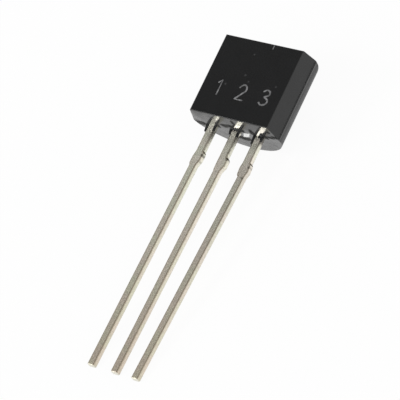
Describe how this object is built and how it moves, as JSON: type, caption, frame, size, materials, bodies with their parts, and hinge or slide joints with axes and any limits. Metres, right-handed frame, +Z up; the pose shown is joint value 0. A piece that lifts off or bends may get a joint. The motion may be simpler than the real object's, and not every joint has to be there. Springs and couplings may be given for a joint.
{
  "type": "transistor",
  "caption": "Small-signal transistor: D-shaped black moulded case with a flat front and straight flat tinned leads, lying on its round back and lead tips.",
  "frame": {"origin": "on the ground under the middle of the part's bounding box, as it lies", "axes": "+Y runs along the leads from their tips to the case, +X across the leads from the emitter to the collector, +Z up out of the flat front, which is tipped by 7.9 degrees"},
  "size_m": [0.005, 0.0178, 0.0037],
  "materials": {
    "moulded_epoxy": "matte",
    "tinned_lead": "satin",
    "silicon": "gloss",
    "gold_wire": "satin"
  },
  "bodies": {
    "root": {"moulded_case": "moulded_epoxy", "emitter_lead": "tinned_lead", "base_lead": "tinned_lead", "collector_lead": "tinned_lead", "silicon_die": "silicon", "emitter_bond_wire": "gold_wire", "base_bond_wire": "gold_wire"}
  },
  "joints": []
}
